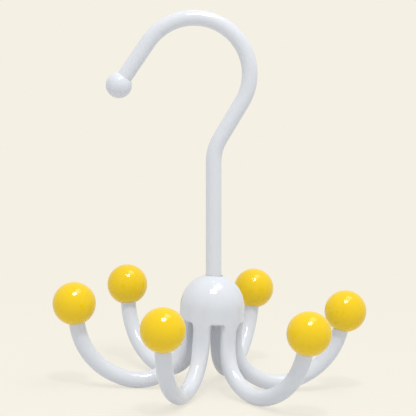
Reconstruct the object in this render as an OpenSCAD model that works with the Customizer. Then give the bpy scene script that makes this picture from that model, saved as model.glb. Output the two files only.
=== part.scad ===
// Tie hanger: a steel swivel hook over a domed hub with six curved arms, each tipped with a
// ball. It stands on the bends of its arms at z = 0, z is the hub's axis, and the hook lies
// in the xz plane, leaning towards -x as far as its loose swivel allows.

/* [Arms] */
// Diameter of the circle through the ball centres
ball_ring_d = 130; // [110:1:160]
// Diameter of an arm
arm_d = 7.5; // [6:0.1:9]
// Straight drop of an arm below the hub's lip
leg_l = 7.5; // [5:0.5:15]
// Turn of the tight bend below the leg, in degrees
tight_turn = 107; // [95:1:120]
// Lean of the arm's upper end from upright, in degrees
end_lean = 11; // [0:1:25]
// Straight stretch between an arm's two bends
mid_l = 1; // [1:0.1:5]
// Straight stretch of an arm that shows below its ball
end_show = 0.25; // [0.1:0.05:5]
// Turn of the first arm from the hook's plane, in degrees
arm_turn = 10.8; // [0:0.1:60]

/* [Arm roots] */
// Amount by which an arm's flat root is wider than the arm, each side
root_side = 0.35; // [0.15:0.05:0.6]
// Thickness of an arm's flat root
root_t = 3.8; // [3.4:0.1:4.6]
// Squareness of a root's corners, where 2 is an ellipse
root_square = 3; // [2:0.1:4]
// Part of the tight bend in which the flat root becomes round, in degrees
blend_turn = 42; // [30:1:60]
// Height of the tongue that keys an arm into the skirt
tongue_h = 3; // [1.5:0.1:4]
// Depth of a tongue's flat back inside the skirt's wall
tongue_in = 0.2; // [0.1:0.05:0.5]
// Diameter of the spigot that is pressed into the hub
spigot_d = 2.8; // [2:0.1:3]
// Length of the spigot above the lip
spigot_l = 7; // [5:0.1:8]
// Shift of the spigot from the root's middle towards the hub's axis
spigot_in = 0.4; // [0.3:0.05:0.6]

/* [Balls] */
// Diameter of a ball
ball_d = 20; // [16:0.5:26]
// Reach of an arm past its ball's centre
arm_past_ball = 2; // [0:0.5:4]

/* [Hub] */
// Diameter of the dome and the skirt
hub_d = 30.2; // [29:0.1:34]
// Height of the dome's centre above the ball centres
dome_rise = 0.65; // [0:0.05:3]
// Wall of the dome and the skirt
hub_wall = 2; // [1.6:0.1:2.4]
// Depth of the skirt below the dome
skirt_h = 6.45; // [5:0.05:10]
// Radius of the rounded lip between the arms
lip_round = 0.9; // [0.3:0.1:1.2]
// Least wall over the swivel pocket
crown_wall = 1.5; // [1:0.1:2.5]
// Wall round each socket
socket_wall = 1.2; // [0.8:0.1:1.6]
// Thickness of the base plate
base_t = 1.8; // [1.2:0.1:2.5]
// Diameter of the post that carries the hook's foot
post_d = 6; // [4:0.5:8]

/* [Hook] */
// Diameter of the hook's rod
rod_d = 7.4; // [5:0.1:9]
// Straight stem from the swivel to the neck bend
stem_l = 57.9; // [40:0.1:120]
// Centreline radius of the neck bend
neck_r = 21.2; // [15:0.1:40]
// Turn of the neck bend, in degrees
neck_turn = 31; // [20:1:45]
// Straight rod between the neck bend and the loop
neck_l = 19.3; // [5:0.1:40]
// Centreline radius of the loop
loop_r = 25.7; // [20:0.1:40]
// Turn of the loop, in degrees
loop_turn = 176.5; // [160:0.5:200]
// Straight rod from the loop to the tip ball's centre
tip_l = 23.9; // [12:0.1:40]
// Diameter of the tip ball
tip_ball_d = 12.2; // [10:0.1:18]
// Reach of the rod past the tip ball's centre
rod_past_tip = 1; // [0:0.5:3]

/* [Swivel] */
// Lean that the loose swivel allows either way, in degrees
lean = 3.65; // [1:0.05:5]
// Height of the swivel bush
bush_h = 4; // [3:0.1:6]
// Wall of the bush round its narrowest bore
bush_wall = 2.3; // [1.5:0.1:3.5]
// Radial width of the thrust washer
washer_wall = 2; // [1.5:0.1:3]
// Thickness of the thrust washer
washer_t = 1; // [0.6:0.1:2]
// Radial width of the retaining clip outside the rod
clip_wall = 1.8; // [1:0.1:2.5]
// Thickness of the retaining clip
clip_t = 1; // [0.6:0.1:1.5]
// Depth of the clip's groove in the rod
groove_depth = 0.6; // [0.3:0.1:1]
// Rod below the clip
foot_l = 2.2; // [1:0.1:5]

/* [Fits] */
// Radial clearance of the bush in its pocket, and of the rod in the bush
run_fit = 0.06; // [0.02:0.01:0.1]
// Radial clearance of the rod in the dome's hole at full lean
hole_gap = 0.1; // [0.05:0.01:0.5]
// Axial clearance in the swivel
end_play = 0.1; // [0.05:0.01:0.3]
// Room round the leaning washer
well_gap = 0.45; // [0.2:0.05:1]
// Radial clearance of the base plate in the skirt
base_fit = 0.05; // [0.02:0.01:0.2]
// Distance of an arm's outer face inside the hub's
flush_in = 0.05; // [0.02:0.01:0.2]
// Room above the spigot in its socket
socket_room = 0.3; // [0.1:0.1:1]
// Amount by which the root's blend ends slimmer than the arm
root_end_slim = 0.07; // [0.05:0.01:0.1]
// Amount by which a bend is slimmer than the straights beside it
bend_slim = 0.02; // [0.01:0.01:0.05]
// Length by which a bend runs on into the straights beside it
bend_lap = 0.3; // [0.2:0.05:0.4]

/* [Hidden] */
$fn = 96;
ARM_COUNT = 6;

WHITE = "white";
YELLOW = "gold";
STEEL = "silver";
NYLON = "ivory";

// Length by which a cut runs past the face that it opens
past = 1;

arm_r = arm_d / 2;
ball_r = ball_d / 2;
ball_ring_r = ball_ring_d / 2;
rod_r = rod_d / 2;
tip_ball_r = tip_ball_d / 2;
spigot_r = spigot_d / 2;

// Swivel, along the hook's own axis from its pivot at the middle of the bush
land_r = rod_r + run_fit;
bush_r = land_r + bush_wall;
pocket_r = bush_r + run_fit;
washer_r = rod_r + washer_wall;
clip_r = rod_r + clip_wall;
groove_r = rod_r - groove_depth;
tilt_gap = washer_r * sin(lean) + end_play;
washer_z = -bush_h / 2 - tilt_gap - washer_t;
clip_z = washer_z - clip_t;
foot_r = foot_l - clip_z;

// Hub, from the dome's centre
hub_r = hub_d / 2;
ball_z = -dome_rise;
well_r = washer_r - washer_z * sin(lean) + well_gap;
leg_r = hub_r - flush_in - arm_r;
spigot_x = hub_r - flush_in - root_t / 2 - spigot_in;
lip_z = -skirt_h;
skirt_in_r = hub_r - hub_wall;
ceiling_z = sqrt(pow(hub_r - crown_wall, 2) - pow(pocket_r, 2));
bush_z = ceiling_z - end_play - bush_h;
pivot_z = bush_z + bush_h / 2;
rod_hole_r = rod_r / cos(lean) + (hub_r - pivot_z) * tan(lean) + hole_gap;
post_z = pivot_z - foot_r - end_play;

// Arm: a straight leg, a tight bend, a short straight and a wide bend, tangent to each other.
// The two radii are what brings the arm's straight end into the ball at the wanted lean.
end_l = sqrt(pow(ball_r, 2) - pow(arm_r, 2)) + end_show;
end_turn = 180 - end_lean;
leg_z = lip_z - leg_l;
reach = ball_ring_r - leg_r - end_l * sin(end_turn) - mid_l * sin(tight_turn);
climb = ball_z + end_l * cos(end_turn) + mid_l * cos(tight_turn) - leg_z;
tight_sin = sin(tight_turn) - sin(end_turn);
tight_cos = cos(tight_turn) - cos(end_turn);
tight_back = 1 - cos(tight_turn);
share = tight_back * tight_sin + tight_cos * sin(tight_turn);
tight_r = (reach * tight_sin - climb * tight_cos) / share;
wide_r = (climb * tight_back + reach * sin(tight_turn)) / share;
centre_z = arm_r + tight_r - leg_z;

// Root: a flat section along the leg, which becomes round in the first part of the tight bend
root_w = arm_d + 2 * root_side;
tongue_x = sqrt(pow(skirt_in_r, 2) - pow(root_w / 2, 2)) - tongue_in;
ROOT_SIDES = 40;
ROOT_STEPS = 10;
root_end_r = arm_r - root_end_slim;

// Places children that are drawn from the dome's centre
module at_hub() translate([0, 0, centre_z]) children();

// Places children that are drawn from the pivot along the hook's stem
module at_hook() at_hub() translate([0, 0, pivot_z]) rotate([0, -lean, 0]) children();

// Turns children to the place of one arm, counted clockwise from above
module at_arm(i) at_hub() rotate([0, 0, arm_turn - (i - 1) * 360 / ARM_COUNT]) children();

// Flat ring
module ring(r, bore_r, h) {
    difference() {
        cylinder(r = r, h = h);
        translate([0, 0, -past]) cylinder(r = bore_r, h = h + 2 * past);
    }
}

// Rod bend that starts upwards and turns towards +x, or towards -x if the turn is negative
module bend(r, bend_r, turn) {
    lap_turn = bend_lap / bend_r * 180 / PI;
    rotate([0, 0, turn < 0 ? 180 : 0])
        translate([bend_r, 0, 0])
            rotate([90, 0, 0])
                rotate([0, 0, 180 - abs(turn) - lap_turn])
                    rotate_extrude(angle = abs(turn) + 2 * lap_turn)
                        translate([bend_r, 0]) circle(r = r - bend_slim);
}

// Bent rod: each step is a straight length, then the radius and turn of the bend after it
module bent_rod(r, steps, i = 0) {
    if (i < len(steps)) {
        straight = steps[i][0];
        bend_r = steps[i][1];
        turn = steps[i][2];
        if (straight > 0) cylinder(r = r, h = straight);
        translate([0, 0, straight]) {
            if (turn != 0) bend(r, bend_r, turn);
            translate([sign(turn) * bend_r * (1 - cos(turn)), 0, bend_r * sin(abs(turn))])
                rotate([0, turn, 0]) bent_rod(r, steps, i + 1);
        }
    }
}

// Half outline of the dome and skirt at radius r, with its lower outer edge rounded
module dome_outline(r, round) {
    intersection() {
        circle(r = r);
        square(r + past);
    }
    translate([0, lip_z]) square([r - round, skirt_h]);
    translate([0, lip_z + round]) square([r, skirt_h - round]);
    translate([r - round, lip_z + round]) circle(r = round);
}

// Dome with a plain open skirt that runs below the lip, for cutting and trimming
module plain_dome(r) {
    sphere(r = r);
    translate([0, 0, lip_z - past]) cylinder(r = r, h = skirt_h + past);
}

module dome_wall() {
    difference() {
        rotate_extrude() dome_outline(hub_r, lip_round);
        plain_dome(skirt_in_r);
    }
}

// Tubes inside the hub that hold the swivel and the spigots, down to the base plate
module hub_tubes() {
    tube_z = lip_z + base_t;
    translate([0, 0, tube_z]) {
        cylinder(r = well_r + socket_wall, h = hub_r - tube_z);
        for (i = [1:ARM_COUNT])
            rotate([0, 0, arm_turn - (i - 1) * 360 / ARM_COUNT])
                translate([spigot_x, 0, 0]) cylinder(r = spigot_r + socket_wall, h = hub_r);
    }
}

// Space that an arm's spigot and tongue take in the hub
module arm_seat() {
    translate([spigot_x, 0, lip_z - past]) cylinder(r = spigot_r, h = spigot_l + socket_room + past);
    translate([tongue_x, -root_w / 2, lip_z - past]) cube([hub_r, root_w, tongue_h + past]);
}

module hub_shell() {
    color(WHITE) at_hub() difference() {
        union() {
            dome_wall();
            intersection() {
                plain_dome(hub_r - hub_wall / 2);
                hub_tubes();
            }
        }
        cylinder(r = rod_hole_r, h = hub_r + past);
        cylinder(r = pocket_r, h = ceiling_z);
        translate([0, 0, lip_z]) cylinder(r = well_r, h = bush_z - lip_z);
        for (i = [1:ARM_COUNT])
            rotate([0, 0, arm_turn - (i - 1) * 360 / ARM_COUNT]) arm_seat();
    }
}

// Plate that closes the skirt, trapped by the arms' shoulders, with a post under the hook
module base_plate() {
    color(WHITE) at_hub() {
        difference() {
            translate([0, 0, lip_z]) cylinder(r = skirt_in_r - base_fit, h = base_t);
            for (i = [1:ARM_COUNT])
                rotate([0, 0, arm_turn - (i - 1) * 360 / ARM_COUNT])
                    translate([0, 0, lip_z - past])
                        linear_extrude(base_t + 2 * past) {
                            translate([spigot_x, 0]) circle(r = spigot_r + base_fit);
                            translate([tongue_x - base_fit, -root_w / 2 - base_fit])
                                square([hub_r, root_w + 2 * base_fit]);
                        }
        }
        translate([0, 0, lip_z + base_t]) cylinder(d = post_d, h = post_z - lip_z - base_t);
    }
}

// Turn, half thickness, half width, squareness and hub share of the root at a step of its blend
function root_step(k) =
    let (done = k / ROOT_STEPS, eased = done * done * (3 - 2 * done))
    [
        done * blend_turn,
        root_t / 2 + (root_end_r - root_t / 2) * eased,
        root_w / 2 + (root_end_r - root_w / 2) * eased,
        root_square + (2 - root_square) * eased,
        1 - eased
    ];

// Point of the root's section at an angle, across the arm, with its outer side on the arm's
function root_point(step, angle) =
    let (
        power = 2 / step[3],
        y = step[2] * sign(sin(angle)) * pow(abs(sin(angle)), power),
        out = arm_r - root_end_slim - step[1] - step[4] * (hub_r - sqrt(pow(hub_r, 2) - pow(y, 2)))
    )
    [out + step[1] * sign(cos(angle)) * pow(abs(cos(angle)), power), y];

// Ring of points of the root, from the point below the lip where the tight bend starts
function root_ring(step, drop) = [
    for (j = [0:ROOT_SIDES - 1])
        let (q = root_point(step, (j + 0.5) * 360 / ROOT_SIDES), arc_r = tight_r - q[0])
        [tight_r - arc_r * cos(step[0]), q[1], drop - arc_r * sin(step[0])]
];

// Flat leg below the lip and its blend into the round arm
module arm_root() {
    rings = concat(
        [root_ring(root_step(0), leg_l)],
        [for (k = [0:ROOT_STEPS]) root_ring(root_step(k), 0)]
    );
    count = len(rings);
    translate([leg_r, 0, leg_z])
        polyhedron(
            points = [for (r = rings) each r],
            faces = concat(
                [[for (j = [ROOT_SIDES - 1:-1:0]) j]],
                [for (k = [0:count - 2], j = [0:ROOT_SIDES - 1])
                    let (a = k * ROOT_SIDES, n = (j + 1) % ROOT_SIDES)
                    [a + j, a + n, a + ROOT_SIDES + j]],
                [for (k = [0:count - 2], j = [0:ROOT_SIDES - 1])
                    let (a = k * ROOT_SIDES, n = (j + 1) % ROOT_SIDES)
                    [a + n, a + ROOT_SIDES + n, a + ROOT_SIDES + j]],
                [[for (j = [0:ROOT_SIDES - 1]) (count - 1) * ROOT_SIDES + j]]
            )
        );
}

module arm(i) {
    color(WHITE) at_arm(i) {
        translate([spigot_x, 0, lip_z - past]) cylinder(r = spigot_r, h = spigot_l + past);
        translate([0, 0, lip_z])
            linear_extrude(tongue_h)
                intersection() {
                    circle(r = hub_r);
                    translate([tongue_x, -root_w / 2]) square([hub_r, root_w]);
                }
        arm_root();
        translate([leg_r + tight_r * (1 - cos(blend_turn)), 0, leg_z - tight_r * sin(blend_turn)])
            rotate([180, -blend_turn, 0])
                bent_rod(arm_r, [
                    [0, tight_r, tight_turn - blend_turn],
                    [mid_l, wide_r, end_turn - tight_turn],
                    [end_l + arm_past_ball, 0, 0]
                ]);
    }
}

module ball(i) {
    color(YELLOW) at_arm(i) translate([ball_ring_r, 0, ball_z]) difference() {
        sphere(r = ball_r);
        rotate([0, end_lean, 0])
            translate([0, 0, -ball_r - past])
                cylinder(r = arm_r, h = ball_r + past + arm_past_ball);
    }
}

// Bush with a waisted bore, so that the rod can lean in it
module swivel_bush() {
    bore_end_r = rod_r / cos(lean) + bush_h / 2 * tan(lean) + run_fit;
    waist = bore_end_r - land_r;
    waist_r = (pow(bush_h / 2, 2) + pow(waist, 2)) / (2 * waist);
    color(NYLON) at_hub() translate([0, 0, pivot_z])
        rotate_extrude()
            intersection() {
                translate([land_r, -bush_h / 2]) square([bush_wall, bush_h]);
                translate([land_r + waist_r, 0]) circle(r = waist_r);
            }
}

module thrust_washer() {
    color(STEEL) at_hook() translate([0, 0, washer_z]) ring(washer_r, rod_r + run_fit, washer_t);
}

// Open clip that snaps into the rod's groove
module retaining_clip() {
    mouth_w = 1.8 * groove_r;
    color(STEEL) at_hook() translate([0, 0, clip_z]) difference() {
        ring(clip_r, groove_r, clip_t);
        translate([0, -mouth_w / 2, -past]) cube([clip_r + past, mouth_w, clip_t + 2 * past]);
    }
}

// Rod with its foot rounded about the pivot, so that it stays on the post as it leans
module hook_rod() {
    color(WHITE) at_hook() {
        difference() {
            intersection() {
                translate([0, 0, -foot_r]) cylinder(r = rod_r, h = foot_r);
                sphere(r = foot_r);
            }
            translate([0, 0, clip_z]) ring(rod_d, groove_r, clip_t);
        }
        bent_rod(rod_r, [
            [stem_l, neck_r, neck_turn],
            [neck_l, loop_r, -loop_turn],
            [tip_l + rod_past_tip, 0, 0]
        ]);
    }
}

// Moves children from the pivot to the tip ball's centre, with z along the rod
module at_tip() {
    up = neck_turn - loop_turn;
    translate([neck_r * (1 - cos(neck_turn)), 0, stem_l + neck_r * sin(neck_turn)])
        rotate([0, neck_turn, 0])
            translate([-loop_r * (1 - cos(loop_turn)), 0, neck_l + loop_r * sin(loop_turn)])
                rotate([0, up - neck_turn, 0])
                    translate([0, 0, tip_l]) children();
}

module tip_ball() {
    color(WHITE) at_hook() at_tip() difference() {
        sphere(r = tip_ball_r);
        translate([0, 0, -tip_ball_r - past]) cylinder(r = rod_r, h = tip_ball_r + past + rod_past_tip);
    }
}

hub_shell();
base_plate();
for (i = [1:ARM_COUNT]) {
    arm(i);
    ball(i);
}
swivel_bush();
thrust_washer();
retaining_clip();
hook_rod();
tip_ball();
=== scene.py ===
"""Looks of the tie hanger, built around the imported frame."""

import math

import bpy
from mathutils import Matrix, Vector


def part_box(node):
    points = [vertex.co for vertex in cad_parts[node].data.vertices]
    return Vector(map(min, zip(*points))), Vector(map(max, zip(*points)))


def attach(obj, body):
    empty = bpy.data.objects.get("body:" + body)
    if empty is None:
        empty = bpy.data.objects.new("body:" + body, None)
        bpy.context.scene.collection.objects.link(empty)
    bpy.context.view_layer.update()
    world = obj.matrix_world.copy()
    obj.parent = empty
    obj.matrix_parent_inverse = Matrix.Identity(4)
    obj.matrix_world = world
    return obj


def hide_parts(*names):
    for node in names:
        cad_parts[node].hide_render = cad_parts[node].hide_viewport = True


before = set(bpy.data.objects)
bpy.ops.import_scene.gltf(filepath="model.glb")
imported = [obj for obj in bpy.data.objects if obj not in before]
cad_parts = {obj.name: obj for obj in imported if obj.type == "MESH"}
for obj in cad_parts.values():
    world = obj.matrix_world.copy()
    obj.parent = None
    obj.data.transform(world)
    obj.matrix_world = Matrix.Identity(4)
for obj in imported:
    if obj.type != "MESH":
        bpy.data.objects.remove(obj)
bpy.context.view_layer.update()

MM = 0.001

# Camera, fitted to the centres of the six balls and the outline of the hook
PHOTO_PX = 416
FOCAL_PX = 1533.0
SENSOR_MM = 36.0
CAMERA_DISTANCE = 714.7 * MM
CAMERA_PITCH = math.radians(6.535)
CAMERA_AIM = Vector((-1.95, 0, 46.98)) * MM
# The photograph shows the hook upright and the hub leaning by this much
HUB_ROLL = math.radians(3.64)
HUB_NOD = math.radians(0.24)

BACKGROUND = (0.913, 0.871, 0.776)
# Colour of the floor for the rays that light the object from below
FLOOR_BOUNCE = (0.70, 0.70, 0.70)

BALL_R = (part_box("ball_1")[1].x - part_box("ball_1")[0].x) / 2
HUB_CENTRE = Vector((0, 0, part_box("ball_1")[1].z - BALL_R))


# Shader helpers


def new_material(name):
    material = bpy.data.materials.new(name)
    material.use_nodes = True
    material.node_tree.nodes.clear()
    return material, material.node_tree.nodes, material.node_tree.links


def add(nodes, kind, **values):
    node = nodes.new(kind)
    for key, value in values.items():
        if key in node.inputs:
            node.inputs[key].default_value = value
        else:
            setattr(node, key, value)
    return node


# Size of the colour's drift and of the uneven gloss, in waves per metre
DRIFT_SCALE = 60.0
GRAIN_SCALE = 500.0


def gloss_material(name, colour, shade, roughness, uneven=0.012, ior=1.5, metallic=0.0):
    """Finish whose colour drifts softly towards shade and whose gloss is slightly uneven."""
    material, nodes, links = new_material(name)
    place = nodes.new("ShaderNodeTexCoord")
    drift = add(nodes, "ShaderNodeTexNoise", Scale=DRIFT_SCALE, Detail=2.0, Roughness=0.5)
    links.new(place.outputs["Object"], drift.inputs["Vector"])
    mix = nodes.new("ShaderNodeMix")
    mix.data_type = "RGBA"
    mix.inputs["A"].default_value = (*colour, 1)
    mix.inputs["B"].default_value = (*shade, 1)
    links.new(drift.outputs["Fac"], mix.inputs["Factor"])
    shader = add(nodes, "ShaderNodeBsdfPrincipled", IOR=ior, Metallic=metallic)
    links.new(mix.outputs["Result"], shader.inputs["Base Color"])
    grain = add(nodes, "ShaderNodeTexNoise", Scale=GRAIN_SCALE, Detail=2.0, Roughness=0.5)
    links.new(place.outputs["Object"], grain.inputs["Vector"])
    rough = nodes.new("ShaderNodeMapRange")
    rough.inputs["To Min"].default_value = roughness
    rough.inputs["To Max"].default_value = roughness + uneven
    links.new(grain.outputs["Fac"], rough.inputs["Value"])
    links.new(rough.outputs["Result"], shader.inputs["Roughness"])
    out = nodes.new("ShaderNodeOutputMaterial")
    links.new(shader.outputs["BSDF"], out.inputs["Surface"])
    return material


WHITE = gloss_material("white_plastic_gloss", (0.785, 0.805, 0.85), (0.77, 0.79, 0.84), 0.06)
YELLOW = gloss_material(
    "yellow_plastic_gloss", (0.98, 0.66, 0.003), (0.97, 0.635, 0.002), 0.06, ior=1.45
)
ENAMEL = gloss_material("white_enamel_gloss", (0.80, 0.815, 0.85), (0.785, 0.80, 0.84), 0.05)
NYLON = gloss_material(
    "nylon_natural", (0.76, 0.74, 0.66), (0.70, 0.68, 0.60), 0.34, uneven=0.1
)
STEEL = gloss_material(
    "steel_zinc_plated", (0.62, 0.63, 0.65), (0.50, 0.51, 0.53), 0.24, uneven=0.15, metallic=1.0
)

# Sizes of the construction, as the CAD has them apart from the rod

ARM_COUNT = 6
ARM_TURN = math.radians(10.8)
RING_R = 65 * MM
ARM_R = 3.75 * MM
HUB_R = 15.1 * MM
DOME_RISE = 0.65 * MM
LIP_Z = -6.45 * MM
LEG_L = 7.5 * MM
LEG_Z = LIP_Z - LEG_L
LEG_X = HUB_R - 0.05 * MM - ARM_R
ROOT_T = 3.8 * MM
ROOT_W = 8.2 * MM
BLEND_TURN = math.radians(42)
TIGHT_TURN = math.radians(107)
END_TURN = math.radians(169)
MID_L = 1.0 * MM
END_SHOW = 0.25 * MM
ARM_PAST_BALL = 2 * MM
# The rod is slightly thinner than the CAD's, which keeps the hook's top inside its box
ROD_R = 3.66 * MM
LEAN = math.radians(3.65)
DOME_CENTRE = HUB_CENTRE + Vector((0, 0, DOME_RISE))
PIVOT = DOME_CENTRE + Vector((0, 0, 10.045 * MM))
SIDES = 64


def ease(t):
    t = min(max(t, 0.0), 1.0)
    return t * t * (3 - 2 * t)


def make_piece(name, points, faces, material, body, nodes, sharp=35):
    """Mesh piece that stands for CAD nodes, smooth except along its sharp edges."""
    mesh = bpy.data.meshes.new(name)
    mesh.from_pydata([tuple(q) for q in points], [], faces)
    mesh.validate()
    mesh.materials.append(material)
    for polygon in mesh.polygons:
        polygon.use_smooth = True
    mesh.set_sharp_from_angle(angle=math.radians(sharp))
    piece = bpy.data.objects.new(name, mesh)
    bpy.context.scene.collection.objects.link(piece)
    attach(piece, body)
    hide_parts(*nodes)
    return piece


def tube_faces(rings, sides):
    """Faces of a closed tube through rings of points, with one flat face on each end."""
    faces = []
    for k in range(rings - 1):
        for j in range(sides):
            n = (j + 1) % sides
            faces.append((k * sides + j, k * sides + n, (k + 1) * sides + n, (k + 1) * sides + j))
    faces.append(tuple(range(sides - 1, -1, -1)))
    faces.append(tuple((rings - 1) * sides + j for j in range(sides)))
    return faces


# Arms

TIGHT_R, WIDE_R = 22.118 * MM, 32.4154 * MM
TIGHT_STEPS, WIDE_STEPS = 54, 28
# Fillet beside an arm at the lip, and the length in which the arm's corners soften below it
LIP_FILLET = 0.7 * MM
CORNER_L = 2.6 * MM
# Power of the section at the lip, at the root and in the round arm
LIP_SQUARE, ROOT_SQUARE, ROUND_SQUARE = 9, 3, 2
# The root stands this far out of the hub's skin
PROUD = 0.03 * MM
# Heights below the lip, in mm, at which the straight root has a section
ROOT_DROPS = (-1.0, 0.0, 0.7, 1.2, 1.8, 2.5, 3.3, 4.2, 5.2, 6.3, 7.5)
END_SHARES = (0.05, 0.1, 0.2, 0.5, 1)


def arm_section(thick, wide, square, share, out):
    """Section across an arm: x away from the hub's axis, y along its lip.

    share is how far the section follows the curve of the hub, and out moves it outwards.
    """
    ring = []
    for j in range(SIDES):
        angle = (j + 0.5) * math.tau / SIDES
        c, v = math.cos(angle), math.sin(angle)
        y = math.copysign(wide * abs(v) ** (2 / square), v)
        x = math.copysign(thick * abs(c) ** (2 / square), c)
        x += ARM_R + out - thick - share * (HUB_R - math.sqrt(HUB_R**2 - y * y))
        ring.append((x, y))
    return ring


def arm_stations():
    """Places along an arm: x, z, turn from straight down, and the section there."""
    stations = []
    for drop in ROOT_DROPS:
        soft = ease((drop * MM - LIP_FILLET) / CORNER_L)
        square = LIP_SQUARE - (LIP_SQUARE - ROOT_SQUARE) * soft
        section = arm_section(ROOT_T / 2, ROOT_W / 2, square, 1, PROUD)
        stations.append((LEG_X, LIP_Z - drop * MM, 0.0, section))
    x, z, turn = LEG_X, LEG_Z, 0.0

    def bend(x, z, turn, radius, until, steps):
        cx, cz = x + radius * math.cos(turn), z + radius * math.sin(turn)
        for k in range(1, steps + 1):
            a = turn + (until - turn) * k / steps
            yield cx - radius * math.cos(a), cz - radius * math.sin(a), a

    for x, z, turn in bend(x, z, turn, TIGHT_R, TIGHT_TURN, TIGHT_STEPS):
        soft = ease(turn / BLEND_TURN)
        section = arm_section(
            ROOT_T / 2 + (ARM_R - ROOT_T / 2) * soft,
            ROOT_W / 2 + (ARM_R - ROOT_W / 2) * soft,
            ROOT_SQUARE - (ROOT_SQUARE - ROUND_SQUARE) * soft,
            1 - soft,
            PROUD * (1 - soft),
        )
        stations.append((x, z, turn, section))
    round_section = section
    x, z = x + MID_L * math.sin(turn), z - MID_L * math.cos(turn)
    stations.append((x, z, turn, round_section))
    for x, z, turn in bend(x, z, turn, WIDE_R, END_TURN, WIDE_STEPS):
        stations.append((x, z, turn, round_section))
    end = math.sqrt(BALL_R**2 - ARM_R**2) + END_SHOW + ARM_PAST_BALL
    for part in END_SHARES:
        on = part * end
        stations.append((x + on * math.sin(turn), z - on * math.cos(turn), turn, round_section))
    return stations


def arm_turn(i):
    return ARM_TURN - (i - 1) * math.tau / ARM_COUNT


def make_arm(i):
    place = Matrix.Translation(DOME_CENTRE) @ Matrix.Rotation(arm_turn(i), 4, "Z")
    points = []
    stations = arm_stations()
    for x, z, turn, section in stations:
        for out, y in section:
            points.append(place @ Vector((x + out * math.cos(turn), y, z + out * math.sin(turn))))
    faces = tube_faces(len(stations), SIDES)
    faces = [face[::-1] for face in faces]
    return make_piece(
        f"arm_{i}_moulded", points, faces, WHITE, "spider", [f"arm_{i}"]
    )


# Hub

# The hole is narrower than the CAD's, which keeps the gap beside the stem small
HOLE_R = 4.03 * MM
COLLAR_R = 4.9 * MM
# Rounding of the hole's rim, and the collar's height as a share of its width
RIM = 0.2 * MM
COLLAR_RISE = 0.6
WALL = 2 * MM
LIP_ROUND = 0.9 * MM
# Least rounding of the lip, where it meets an arm
SHARP_ROUND = 0.02 * MM
# The lip's rounding is full at this many fillets from an arm
ROUND_FULL = 1.6


def lip_shape(angle):
    """Height of the skirt's lower edge and its rounding at an angle round the hub."""
    pitch = math.tau / ARM_COUNT
    away = abs((angle - ARM_TURN + pitch / 2) % pitch - pitch / 2)
    beyond = (away - math.asin(ROOT_W / 2 / HUB_R)) * HUB_R
    if beyond <= 0:
        return LIP_Z - LIP_FILLET, SHARP_ROUND
    near = min(beyond, LIP_FILLET)
    low = LIP_Z - LIP_FILLET + math.sqrt(LIP_FILLET**2 - (near - LIP_FILLET) ** 2)
    grown = ease(beyond / (ROUND_FULL * LIP_FILLET))
    return low, SHARP_ROUND + (LIP_ROUND - SHARP_ROUND) * grown


def hub_angles():
    """Angles round the hub, closer together beside the arms."""
    half = math.asin(ROOT_W / 2 / HUB_R)
    fillet = LIP_FILLET / HUB_R
    pitch = math.tau / ARM_COUNT
    steps = [half * k / 7 for k in range(7)]
    steps += [half + fillet * (1 - math.cos(math.pi / 2 * k / 8)) for k in range(9)]
    steps += [half + fillet * (1 + (ROUND_FULL - 1) * k / 4) for k in range(1, 5)]
    rest = half + fillet * ROUND_FULL
    steps += [rest + (pitch / 2 - rest) * k / 6 for k in range(1, 7)]
    one = sorted({round(q, 9) for q in steps} | {round(-q, 9) for q in steps[:-1]})
    return [ARM_TURN + i * pitch + q for i in range(ARM_COUNT) for q in one]


def smooth_step(t, span, start, start_slope, end, end_slope):
    """Height at share t of a span between two heights, with a given slope at each."""
    from_start = (2 * t**3 - 3 * t**2 + 1) * start + (t**3 - 2 * t**2 + t) * span * start_slope
    from_end = (-2 * t**3 + 3 * t**2) * end + (t**3 - t**2) * span * end_slope
    return from_start + from_end


def hub_profile(low, rounding):
    """Closed outline of the hub's wall, from the collar down the outside and back up inside."""
    line = []
    top = math.sqrt(HUB_R**2 - COLLAR_R**2)
    rim_z = top + COLLAR_RISE * (COLLAR_R - HOLE_R - RIM)
    for k in range(6):
        a = math.pi - math.pi / 2 * k / 5
        line.append((HOLE_R + RIM + RIM * math.cos(a), rim_z - RIM + RIM * math.sin(a)))
    start_x, start_z = line[-1]
    span = COLLAR_R - start_x
    for k in range(1, 9):
        t = k / 8
        z = smooth_step(t, span, start_z, -1.0, top, -COLLAR_R / top)
        line.append((start_x + span * t, z))
    first = math.asin(COLLAR_R / HUB_R)
    for k in range(1, 49):
        a = first + (math.pi / 2 - first) * k / 48
        line.append((HUB_R * math.sin(a), HUB_R * math.cos(a)))
    # Two close rings above the rounding keep its slope out of the skirt's shading
    edge = 0.04 * MM
    for k in range(1, 9):
        line.append((HUB_R, (low + rounding + edge) * k / 8))
    line.append((HUB_R, low + rounding + 0.2 * edge))
    for k in range(1, 7):
        a = math.pi / 2 * k / 6
        x = HUB_R - rounding + rounding * math.cos(a)
        line.append((x, low + rounding - rounding * math.sin(a)))
    inner = HUB_R - WALL
    line.append((inner, low))
    line.append((inner, 0.5 * low))
    for k in range(13):
        a = math.pi / 2 - (math.pi / 2 - math.asin(HOLE_R / inner)) * k / 12
        line.append((inner * math.sin(a), inner * math.cos(a)))
    return line


def make_hub():
    angles = hub_angles()
    points, count = [], 0
    for angle in angles:
        line = hub_profile(*lip_shape(angle))
        count = len(line)
        for r, z in line:
            points.append(DOME_CENTRE + Vector((r * math.cos(angle), r * math.sin(angle), z)))
    faces = []
    for k in range(len(angles)):
        n = (k + 1) % len(angles)
        for j in range(count):
            m = (j + 1) % count
            faces.append((k * count + j, k * count + m, n * count + m, n * count + j))
    return make_piece(
        "hub_moulded", points, faces, WHITE, "spider", ["hub_shell"]
    )


# Balls

BALL_MOUTH = 0.25 * MM
AROUND_BALL = 96


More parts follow.
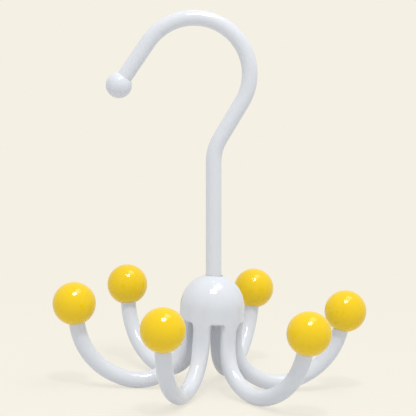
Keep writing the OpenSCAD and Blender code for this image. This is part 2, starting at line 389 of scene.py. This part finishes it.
def ball_profile(radius, bore, mouth, past):
    """Outline of a ball from the end of its blind bore, past the rounded mouth, to the pole."""
    line = [(0, past), (bore * 0.5, past), (bore, past)]
    edge = math.asin((bore + mouth) / radius)
    low = -radius * math.cos(edge)
    for k in range(5):
        line.append((bore, past + (low + mouth - past) * (k + 1) / 5))
    for k in range(1, 6):
        a = math.pi / 2 * k / 5 * (1 - edge / (math.pi / 2))
        line.append((bore + mouth - mouth * math.cos(a), low + mouth - mouth * math.sin(a)))
    for k in range(1, 73):
        a = math.pi - edge - (math.pi - edge) * k / 72
        line.append((radius * math.sin(a), radius * math.cos(a)))
    return line


def make_ball(name, centre, axis, radius, bore, past, material, body, nodes):
    """Ball pressed on a round end that enters from below along the axis."""
    turn = axis.to_track_quat("Z", "Y").to_matrix().to_4x4()
    place = Matrix.Translation(centre) @ turn
    line = ball_profile(radius, bore, BALL_MOUTH, past)
    around = AROUND_BALL
    points = [place @ Vector((0, 0, line[0][1])), place @ Vector((0, 0, line[-1][1]))]
    inner = line[1:-1]
    for r, z in inner:
        for j in range(around):
            a = j * math.tau / around
            points.append(place @ Vector((r * math.cos(a), r * math.sin(a), z)))
    faces = []
    last = 2 + (len(inner) - 1) * around
    for j in range(around):
        n = (j + 1) % around
        faces.append((0, 2 + j, 2 + n))
        faces.append((1, last + n, last + j))
        for k in range(len(inner) - 1):
            a, b = 2 + k * around, 2 + (k + 1) * around
            faces.append((a + n, a + j, b + j, b + n))
    return make_piece(name, points, faces, material, body, nodes)


# Hook

NECK_R, NECK_TURN, NECK_L = 21.2 * MM, math.radians(31), 19.3 * MM
LOOP_R, LOOP_TURN = 25.7 * MM, math.radians(176.5)
TIP_L, TIP_BALL_R, ROD_PAST_TIP = 23.9 * MM, 6.1 * MM, 1.0 * MM
STEM_L = 57.9 * MM
FOOT_R, CLIP_LOW, CLIP_HIGH, GROOVE_R = 6.663 * MM, -4.463 * MM, -3.463 * MM, 3.1 * MM


def hook_stations():
    """Places along the rod: x, z, turn from upwards towards +x, and radius there."""
    foot = []
    for k in range(1, 9):
        a = math.asin(ROD_R / FOOT_R) * k / 8
        foot.append((-FOOT_R * math.cos(a), FOOT_R * math.sin(a)))
    foot += [(CLIP_LOW, ROD_R), (CLIP_LOW, GROOVE_R), (CLIP_HIGH, GROOVE_R), (CLIP_HIGH, ROD_R)]
    stations = [(0.0, z, 0.0, r) for z, r in foot]
    for k in range(25):
        stations.append((0.0, STEM_L * k / 24, 0.0, ROD_R))
    x, z, turn = 0.0, STEM_L, 0.0

    def bend(x, z, turn, radius, by, steps):
        side = 1 if by > 0 else -1
        cx, cz = x + side * radius * math.cos(turn), z - side * radius * math.sin(turn)
        for k in range(1, steps + 1):
            a = turn + by * k / steps
            yield cx - side * radius * math.cos(a), cz + side * radius * math.sin(a), a

    for x, z, turn in bend(x, z, turn, NECK_R, NECK_TURN, 20):
        stations.append((x, z, turn, ROD_R))
    for k in range(1, 9):
        on = NECK_L * k / 8
        stations.append((x + on * math.sin(turn), z + on * math.cos(turn), turn, ROD_R))
    x, z = stations[-1][:2]
    for x, z, turn in bend(x, z, turn, LOOP_R, -LOOP_TURN, 100):
        stations.append((x, z, turn, ROD_R))
    reach = TIP_L + ROD_PAST_TIP
    for k in range(1, 9):
        on = reach * k / 8
        stations.append((x + on * math.sin(turn), z + on * math.cos(turn), turn, ROD_R))
    tip = (x + TIP_L * math.sin(turn), z + TIP_L * math.cos(turn), turn)
    return stations, tip


def make_hook():
    place = Matrix.Translation(PIVOT) @ Matrix.Rotation(-LEAN, 4, "Y")
    stations, tip = hook_stations()
    points = []
    for x, z, turn, radius in stations:
        for j in range(SIDES):
            a = j * math.tau / SIDES
            u, y = radius * math.cos(a), radius * math.sin(a)
            points.append(place @ Vector((x + u * math.cos(turn), y, z - u * math.sin(turn))))
    faces = tube_faces(len(stations), SIDES)
    make_piece("hook_enamelled", points, faces, ENAMEL, "hook", ["hook_rod"])
    x, z, turn = tip
    centre = place @ Vector((x, 0, z))
    axis = place.to_3x3() @ Vector((math.sin(turn), 0, math.cos(turn)))
    make_ball(
        "tip_ball_moulded", centre, axis, TIP_BALL_R, ROD_R, ROD_PAST_TIP,
        WHITE, "hook", ["tip_ball"],
    )


make_hub()
for i in range(1, ARM_COUNT + 1):
    make_arm(i)
    place = Matrix.Translation(HUB_CENTRE) @ Matrix.Rotation(arm_turn(i), 4, "Z")
    axis = place.to_3x3() @ Vector((math.sin(END_TURN), 0, -math.cos(END_TURN)))
    make_ball(
        f"ball_{i}_moulded", place @ Vector((RING_R, 0, 0)), axis, BALL_R, ARM_R, ARM_PAST_BALL,
        YELLOW, "spider", [f"ball_{i}"],
    )
make_hook()

# The pieces that keep their CAD meshes, with their materials
INNER = {"base_plate": WHITE, "swivel_bush": NYLON, "thrust_washer": STEEL, "retaining_clip": STEEL}
for node, material in INNER.items():
    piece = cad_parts[node]
    piece.data.materials.clear()
    piece.data.materials.append(material)


# Camera


def make_camera():
    data = bpy.data.cameras.new("camera")
    data.sensor_width = SENSOR_MM
    data.lens = FOCAL_PX / PHOTO_PX * SENSOR_MM
    data.clip_start = 0.05
    camera = bpy.data.objects.new("camera", data)
    bpy.context.scene.collection.objects.link(camera)
    tilt = Matrix.Rotation(HUB_ROLL, 4, "Y") @ Matrix.Rotation(HUB_NOD, 4, "X")
    away = Vector((0, -math.cos(CAMERA_PITCH), math.sin(CAMERA_PITCH)))
    place = CAMERA_AIM + CAMERA_DISTANCE * away
    camera.matrix_world = (
        Matrix.Translation(HUB_CENTRE)
        @ tilt.inverted()
        @ Matrix.Translation(place)
        @ Matrix.Rotation(math.pi / 2 - CAMERA_PITCH, 4, "X")
    )
    bpy.context.scene.camera = camera


make_camera()


# Lights and surroundings


# The lamps are aimed this far above the hub's centre, from one distance
AIM_RAISE = Vector((0, 0, 0.03))
LAMP_DISTANCE = 1.3
KEY_AZIMUTH, KEY_ELEVATION = 0, 62.6


def softbox(name, azimuth, elevation, width, height, radiance, colour=(1, 1, 1), roll=0.0):
    """Area lamp aimed at the hub. Azimuth 0 is on the camera's side, positive to its right."""
    data = bpy.data.lights.new(name, "AREA")
    data.shape = "RECTANGLE"
    data.size = width
    data.size_y = height
    data.energy = radiance * math.pi * width * height
    data.color = colour
    lamp = bpy.data.objects.new(name, data)
    bpy.context.scene.collection.objects.link(lamp)
    a, e = math.radians(azimuth), math.radians(elevation)
    aim = HUB_CENTRE + AIM_RAISE
    direction = Vector((math.sin(a) * math.cos(e), -math.cos(a) * math.cos(e), math.sin(e)))
    lamp.location = aim + LAMP_DISTANCE * direction
    turned = Matrix.Rotation(math.radians(roll), 3, "Z")
    lamp.rotation_euler = ((-direction).to_track_quat("-Z", "Y").to_matrix() @ turned).to_euler()
    return lamp


# The key lights the surfaces, and the glint is what their gloss shows in its place
key = softbox("key", KEY_AZIMUTH, KEY_ELEVATION, 0.16, 0.16, 66.0, (0.98, 0.99, 1.0))
key.visible_glossy = False
glint = softbox("glint", KEY_AZIMUTH, KEY_ELEVATION, 0.40, 0.36, 28.0, roll=10)
glint.visible_diffuse = False
softbox("top", 66, 77, 0.8, 0.5, 3.0)


def seen_share(nodes, links):
    """1 for the rays that see the background, directly or in a gloss or glass."""
    path = nodes.new("ShaderNodeLightPath")
    either = add(nodes, "ShaderNodeMath", operation="MAXIMUM")
    any_of = add(nodes, "ShaderNodeMath", operation="MAXIMUM")
    links.new(path.outputs["Is Camera Ray"], either.inputs[0])
    links.new(path.outputs["Is Transmission Ray"], either.inputs[1])
    links.new(either.outputs[0], any_of.inputs[0])
    links.new(path.outputs["Is Glossy Ray"], any_of.inputs[1])
    return any_of.outputs[0]


def surroundings():
    world = bpy.data.worlds.new("world")
    bpy.context.scene.world = world
    world.use_nodes = True
    nodes, links = world.node_tree.nodes, world.node_tree.links
    nodes.clear()
    lit = add(nodes, "ShaderNodeBackground", Strength=0.655)
    lit.inputs["Color"].default_value = (0.95, 0.98, 1.0, 1)
    seen = add(nodes, "ShaderNodeBackground", Strength=1.0)
    seen.inputs["Color"].default_value = (*BACKGROUND, 1)
    mix = nodes.new("ShaderNodeMixShader")
    links.new(seen_share(nodes, links), mix.inputs[0])
    links.new(lit.outputs[0], mix.inputs[1])
    links.new(seen.outputs[0], mix.inputs[2])
    out = nodes.new("ShaderNodeOutputWorld")
    links.new(mix.outputs[0], out.inputs["Surface"])


surroundings()


FLOOR_R = 0.9
# The floor's shadow fades out between these distances from the middle
FADE_FROM, FADE_TO = 0.10, 0.40
# Share of the floor that shows its own colour there, the rest being lit by the lamps
GLOW_NEAR, GLOW_FAR = 0.75, 1.0


def make_floor():
    bpy.ops.mesh.primitive_circle_add(vertices=96, radius=FLOOR_R, fill_type="NGON")
    floor = bpy.context.object
    floor.name = "floor"
    material, nodes, links = new_material("floor_pale")
    shader = add(nodes, "ShaderNodeBsdfDiffuse")
    bounce = nodes.new("ShaderNodeMix")
    bounce.data_type = "RGBA"
    bounce.inputs["A"].default_value = (*FLOOR_BOUNCE, 1)
    bounce.inputs["B"].default_value = (*BACKGROUND, 1)
    seen = seen_share(nodes, links)
    links.new(seen, bounce.inputs["Factor"])
    links.new(bounce.outputs["Result"], shader.inputs["Color"])
    glow = add(nodes, "ShaderNodeEmission", Strength=1.0)
    glow.inputs["Color"].default_value = (*BACKGROUND, 1)
    place = nodes.new("ShaderNodeTexCoord")
    length = add(nodes, "ShaderNodeVectorMath", operation="LENGTH")
    links.new(place.outputs["Object"], length.inputs[0])
    fade = nodes.new("ShaderNodeMapRange")
    fade.interpolation_type = "SMOOTHSTEP"
    fade.inputs["From Min"].default_value = FADE_FROM
    fade.inputs["From Max"].default_value = FADE_TO
    fade.inputs["To Min"].default_value = GLOW_NEAR
    fade.inputs["To Max"].default_value = GLOW_FAR
    links.new(length.outputs["Value"], fade.inputs["Value"])
    share = add(nodes, "ShaderNodeMath", operation="MULTIPLY")
    links.new(fade.outputs["Result"], share.inputs[0])
    links.new(seen, share.inputs[1])
    mix = nodes.new("ShaderNodeMixShader")
    links.new(share.outputs[0], mix.inputs[0])
    links.new(shader.outputs[0], mix.inputs[1])
    links.new(glow.outputs[0], mix.inputs[2])
    out = nodes.new("ShaderNodeOutputMaterial")
    links.new(mix.outputs[0], out.inputs["Surface"])
    material.cycles.emission_sampling = "NONE"
    floor.data.materials.append(material)


make_floor()

bpy.context.scene.view_settings.view_transform = "Standard"
